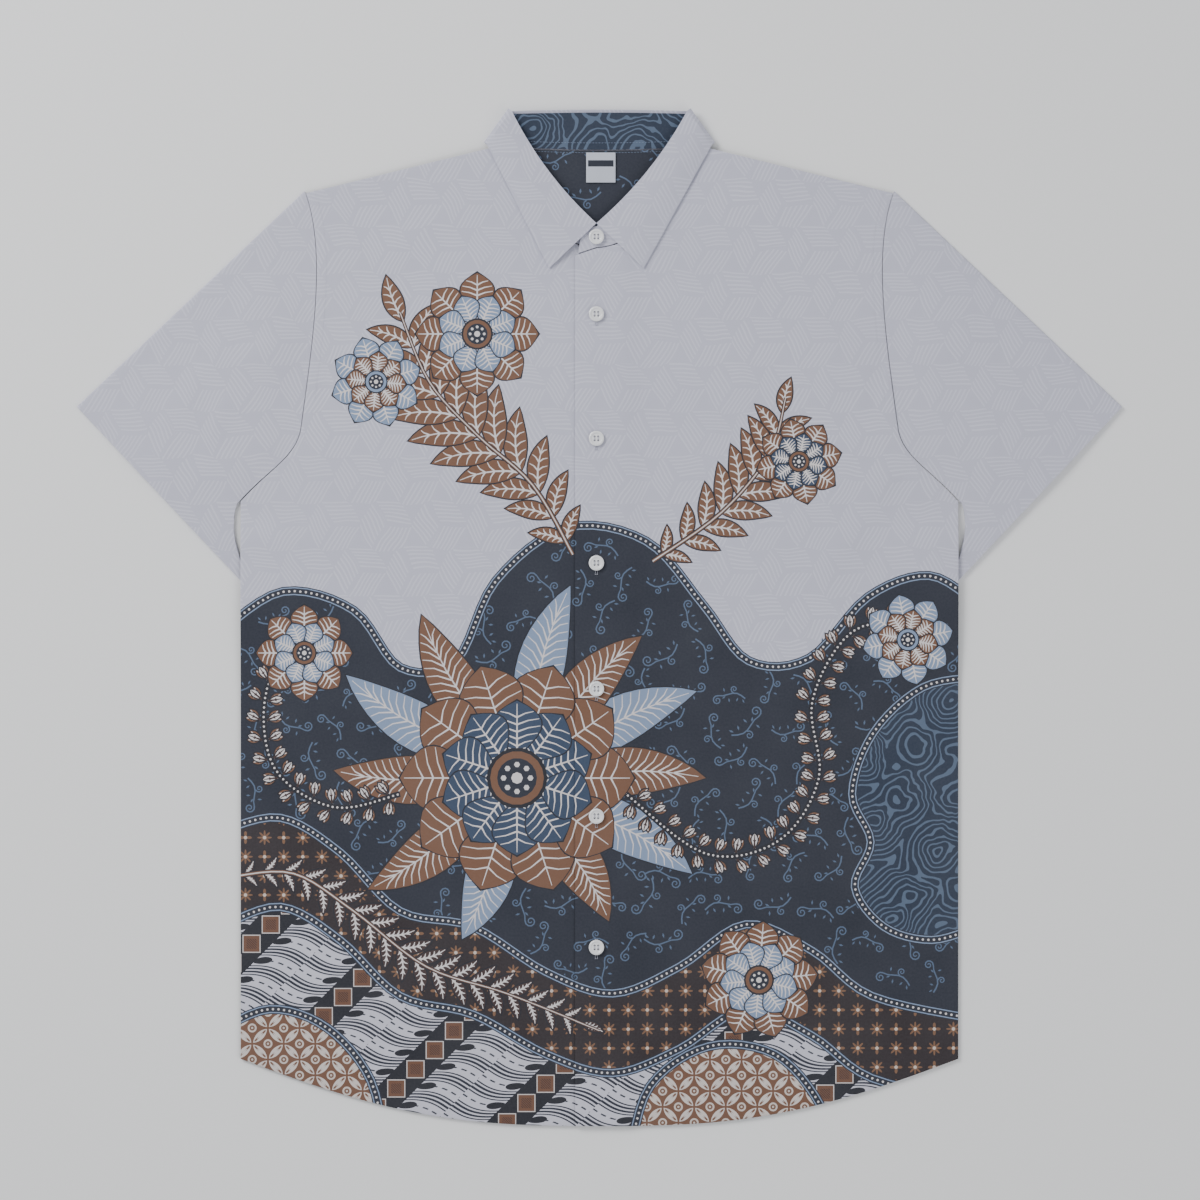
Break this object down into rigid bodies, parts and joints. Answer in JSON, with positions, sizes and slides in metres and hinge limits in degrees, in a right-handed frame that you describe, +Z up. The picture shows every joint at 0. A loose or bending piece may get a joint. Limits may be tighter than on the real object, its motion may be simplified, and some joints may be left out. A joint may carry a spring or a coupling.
{
  "type": "short-sleeved buttoned shirt, laid flat",
  "caption": "Short-sleeved batik cotton shirt with a turned-down collar and shirt-tail hem, buttoned up and laid out flat, face up.",
  "frame": {"origin": "on the table under the middle of the laid-out shirt (centre of the bounding box's bottom)", "axes": "+Z up out of the front of the shirt, +Y from hem to collar, +X towards the wearer's left sleeve"},
  "size_m": [0.7868, 0.7652, 0.0109],
  "materials": {
    "printed_cotton_navy": "matt plain-weave cotton, printed navy with blue scrolls",
    "printed_cotton_pale": "matt plain-weave cotton, batik print on pale lavender and navy fields",
    "printed_cotton_blue": "matt plain-weave cotton, printed with blue contour lines",
    "woven_label": "plain woven label",
    "button": "glossy white, slightly dished"
  },
  "bodies": {
    "root": {"back": "printed_cotton_navy", "front_right": "printed_cotton_pale", "front_left": "printed_cotton_pale", "sleeve_right": "printed_cotton_pale", "sleeve_left": "printed_cotton_pale", "collar_stand": "printed_cotton_blue", "collar_fall": "printed_cotton_pale", "neck_label": "woven_label", "button_collar": "button", "button_1": "button", "button_2": "button", "button_3": "button", "button_4": "button", "button_5": "button", "button_6": "button"}
  },
  "joints": []
}
